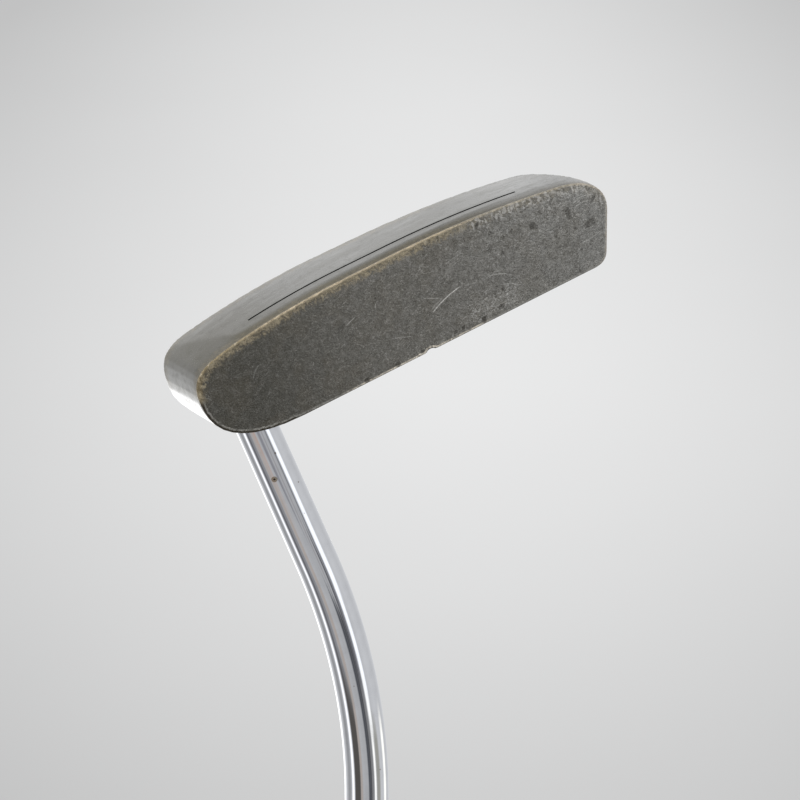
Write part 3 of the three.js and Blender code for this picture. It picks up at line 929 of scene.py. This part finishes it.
def cap():
    """The end cap: the grip's own outline, a spigot with a vent, and a shallow ring in its end."""
    profile = []
    for i in range(9):
        angle = math.pi / 2 * i / 8
        profile.append((GRIP_BUTT - CAP_EDGE_ROUND * (1 - math.sin(angle)),
                        CAP_EDGE_ROUND * (1 - math.cos(angle))))
    profile.append((GRIP_BUTT, CAP_THICKNESS - 0.2))
    profile.append((GRIP_BUTT - 0.2, CAP_THICKNESS))
    rings = []
    for radius, z in profile:
        rings.append([pistol_point(2 * math.pi * k / GRIP_SIDES, radius, z) for k in range(GRIP_SIDES)])
    top = CAP_THICKNESS + SPIGOT_LENGTH
    spigot = [(SPIGOT_RADIUS, CAP_THICKNESS), (SPIGOT_RADIUS, top), (VENT_RADIUS, top)]
    vent = [(VENT_RADIUS, 0.25), (VENT_RADIUS + 0.3, 0.0)]
    end_ring = [(7.4, 0.0), (7.6, 0.3), (8.4, 0.3), (8.6, 0.0)]
    rings += [round_ring(radius, z) for radius, z in spigot + vent + end_ring]
    return add_piece("grip_cap_moulded", ring_mesh("cap", rings, 40), CAP_RUBBER, "cap_rubber",
                     "grip_cap")


def repaint(node, material):
    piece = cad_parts[node]
    if not piece.material_slots:
        piece.data.materials.append(material)
    for place in piece.material_slots:
        place.material = material


shaft()
bond()
head()
grip()
cap()
repaint("tip_plug", CORK)
repaint("grip_tape", TAPE)

# ---------------------------------------------------------------- studio


FLOOR_HALF = 60.0
FLOOR_LEVEL = 0.86                      # how light the floor is away from the pool of light
POOL_DARKEST = 0.66
POOL_DISTANCE = 3.2                     # metres from below the camera to the middle of the pool


def sheet(name, points, faces, material):
    """A plain mesh of the studio, in metres."""
    mesh = bpy.data.meshes.new(name)
    mesh.from_pydata([tuple(point) for point in points], [], faces)
    mesh.materials.append(material)
    return scratch_object(name, mesh)


def studio_floor():
    """A pale floor, with a soft pool of light painted into its colour behind the object as the camera
    sees it.
    """
    material, s = new_shader("pale_floor")
    ground = Vector((eye.x, eye.y, 0)) * MM
    place = s.stretch(s.node("ShaderNodeTexCoord").outputs["Object"], turn=(0, 0, -AZIMUTH),
                      shift=-(Matrix.Rotation(-AZIMUTH, 3, "Z") @ ground))
    side, depth, _ = s.parts(place)
    # painted light and shade: the pool's bright middle and darker edges are the floor's colour
    near = s.step(depth, 1.3, POOL_DISTANCE, 0.57, 1.0)
    far = s.step(depth, POOL_DISTANCE, 6.5, 1.0, 0.74)
    beside = s.step(s.math("ABSOLUTE", s.minus(side, 0.05)), 0.0, 0.9, 1.0, 0.66)
    shade = s.largest(s.times(near, far, beside), POOL_DARKEST)

    # the pool fades out to the floor's own level just outside what the camera sees
    spread = s.math("DIVIDE", s.math("ABSOLUTE", side), depth)
    pool = s.times(s.step(depth, 1.4, 2.15), s.step(spread, 0.26, 0.14), s.step(depth, 7.5, 5.0))
    shade = s.math("MULTIPLY_ADD", pool, s.minus(shade, FLOOR_LEVEL), FLOOR_LEVEL)
    reach = s.length(place)
    shade = s.plus(s.times(shade, s.step(reach, 9, 5)), s.step(reach, 5, 9))
    cloud = s.noise(place, 1.5, 3, 0.5)
    level = s.times(shade, s.step(cloud, 0, 1, 0.925, 0.955))
    s.surface(Base_Color=s.node("ShaderNodeCombineColor", {0: level, 1: level, 2: level}).outputs[0],
              Roughness=1.0, Specular_IOR_Level=0.0)
    corners = [(-FLOOR_HALF, -FLOOR_HALF, 0), (FLOOR_HALF, -FLOOR_HALF, 0), (FLOOR_HALF, FLOOR_HALF, 0),
               (-FLOOR_HALF, FLOOR_HALF, 0)]
    sheet("floor", corners, [(0, 1, 2, 3)], material)


SURROUND_RADIUS = 0.35
SURROUND_BOTTOM, SURROUND_TOP = 0.002, 1.45
SURROUND = (
    # degrees round from the camera's side, positive to the right, and the light there
    (-180, 1.02), (-158, 1.0), (-146, 0.85), (-134, 0.76), (-124, 0.67), (-114, 0.54), (-106, 0.38),
    (-94, 0.37), (-86, 0.50), (-61, 0.45), (-56, 0.30), (-46, 0.43), (-34, 0.45), (-14, 0.54), (0, 0.50),
    (30, 0.50), (46, 0.42), (70, 0.65), (85, 0.69), (120, 0.63), (140, 0.67), (160, 0.72), (178, 0.76),
    (180, 1.0),
)
CARDS = (
    # from and to in degrees, softness, lowest and highest metres, softness, colour
    (-200, 200, 5, 1.115, 1.36, 0.09, (0.40, 0.40, 0.40)),
    (-200, 200, 5, 1.30, 9.0, 0.02, (1.15, 1.15, 1.15)),
    (-95, 95, 12, 1.03, 9.0, 0.02, (1.30, 1.30, 1.30)),
    (-154, -112, 6, 0.98, 1.36, 0.02, (0.62, 0.62, 0.62)),
    (-190, -132, 6, -1.0, 0.70, 0.02, (1.10, 1.10, 1.12)),
    (-190, -142, 4, -1.0, 0.715, 0.02, (1.75, 1.75, 1.75)),
    (-80, -65.5, 5, -1.0, 9.0, 0.02, (1.40, 1.40, 1.44)),
    (-59, -46, 4, -1.0, 0.65, 0.03, (0.17, 0.17, 0.185)),
    (-46, -36, 4, -1.0, 0.65, 0.03, (0.29, 0.29, 0.305)),
    (-40, -10, 4, 0.665, 0.80, 0.03, (0.54, 0.415, 0.36)),
    (-31, -18, 4, 0.50, 0.665, 0.03, (0.50, 0.445, 0.41)),
    (0, 13, 4, 0.713, 0.80, 0.006, (0.30, 0.30, 0.325)),
    (20, 25, 3, 0.715, 0.80, 0.01, (0.38, 0.37, 0.38)),
    (13, 24, 4, -1.0, 0.697, 0.008, (0.09, 0.095, 0.108)),
    (22, 32, 4, -1.0, 0.712, 0.008, (0.09, 0.092, 0.10)),
    (31, 37, 3, 0.66, 0.766, 0.009, (0.10, 0.10, 0.115)),
    (37, 43, 2.5, 0.67, 0.757, 0.012, (0.22, 0.22, 0.24)),
    (31, 41, 4, -1.0, 0.67, 0.01, (0.27, 0.27, 0.275)),
    (39, 43, 2.5, 0.757, 0.83, 0.01, (0.19, 0.195, 0.22)),
    (46.5, 62, 4, 0.68, 0.80, 0.015, (1.33, 1.36, 1.42)),
    (48.5, 66, 4, 0.775, 9.0, 0.015, (1.33, 1.36, 1.42)),
    (57, 77, 5, -1.0, 0.66, 0.02, (0.40, 0.395, 0.36)),
    (45, 59, 4, 0.65, 0.69, 0.015, (1.32, 1.32, 1.30)),
    (44, 54, 4, -1.0, 0.65, 0.02, (1.35, 1.34, 1.30)),
    (103, 121, 6, -1.0, 0.665, 0.02, (1.42, 1.40, 1.32)),
)


def card_place(s):
    """Degrees round from the camera's side, and height in metres."""
    place = s.node("ShaderNodeTexCoord").outputs["Object"]
    x, y, z = s.parts(s.stretch(place, turn=(0, 0, -AZIMUTH)))
    turn = s.times(s.math("ARCTAN2", x, s.times(y, -1.0)), 180 / math.pi)
    return turn, z


def stage_for_reflections(card):
    """Hides a card from camera, diffuse and shadow rays, so that only glossy reflections see it."""
    card.visible_camera = False
    card.visible_diffuse = False
    card.visible_shadow = False


NEAR_CARD_RADIUS = 0.06
NEAR_CARD_LOW, NEAR_CARD_HIGH = 0.60, 0.775
NEAR_CARD_FROM, NEAR_CARD_TO = -64, -24     # degrees round from the camera's side


def near_card():
    """A dark card close to the shaft, so that only the shaft's lower part reflects it."""
    material, s = new_shader("near_card")
    turn, z = card_place(s)
    mask = s.times(s.step(turn, -61, -55), s.step(turn, -25, -32), s.step(z, 0.766, 0.748))
    glow = s.node("ShaderNodeEmission", {"Color": (0.105, 0.098, 0.092, 1), "Strength": 1.0})
    clear = s.node("ShaderNodeBsdfTransparent")
    s.node("ShaderNodeOutputMaterial", {"Surface": s.node("ShaderNodeMixShader", {
        0: mask, 1: clear, 2: glow}).outputs[0]})
    back = Matrix.Rotation(AZIMUTH, 3, "Z")
    strips = 8
    points = []
    for k in range(strips + 1):
        angle = math.radians(NEAR_CARD_FROM + (NEAR_CARD_TO - NEAR_CARD_FROM) * k / strips)
        x, y = NEAR_CARD_RADIUS * math.sin(angle), -NEAR_CARD_RADIUS * math.cos(angle)
        points += [back @ Vector((x, y, height)) for height in (NEAR_CARD_LOW, NEAR_CARD_HIGH)]
    faces = [(2 * k, 2 * k + 2, 2 * k + 3, 2 * k + 1) for k in range(strips)]
    stage_for_reflections(sheet("near_card", points, faces, material))


def studio_surround():
    """A tube of pale card with light and dark strips, that only reflections see."""
    material, s = new_shader("reflection_cards")
    turn, z = card_place(s)
    share = s.math("DIVIDE", s.plus(turn, 180), 360)
    ramp = s.node("ShaderNodeValToRGB", {"Fac": share})
    elements = ramp.color_ramp.elements
    while len(elements) < len(SURROUND):
        elements.new(0.5)
    for element, (degrees, level) in zip(elements, SURROUND):
        element.position = (degrees + 180) / 360
        element.color = (level * 0.985, level * 0.995, level * 1.02, 1)
    colour = ramp.outputs[0]
    for start, end, soft, low, high, fade, tint in CARDS:
        across = s.times(s.step(turn, start - soft, start + soft), s.step(turn, end + soft, end - soft))
        between = s.times(s.step(z, low - fade, low + fade), s.step(z, high + fade, high - fade))
        colour = s.mix(s.times(across, between), colour, tint)
    glow = s.node("ShaderNodeEmission", {"Color": colour, "Strength": 1.0})
    s.node("ShaderNodeOutputMaterial", {"Surface": glow.outputs[0]})
    sides = 96
    points = []
    for height in (SURROUND_BOTTOM, SURROUND_TOP):
        for k in range(sides):
            angle = 2 * math.pi * k / sides
            x, y = SURROUND_RADIUS * math.cos(angle), SURROUND_RADIUS * math.sin(angle)
            points.append((x, y, height))
    faces = [(k, (k + 1) % sides, sides + (k + 1) % sides, sides + k) for k in range(sides)]
    faces.append(tuple(range(sides, 2 * sides)))
    stage_for_reflections(sheet("reflection_cards", points, faces, material))


def studio_world():
    world = bpy.data.worlds.new("studio")
    bpy.context.scene.world = world
    world.cycles.sampling_method = "NONE"
    s = Shader(world)
    back = s.node("ShaderNodeBackground", {"Color": (0.995, 0.998, 1.0, 1.0), "Strength": 0.87})
    s.node("ShaderNodeOutputWorld", {"Surface": back.outputs[0]})


studio_floor()
studio_surround()
near_card()
studio_world()
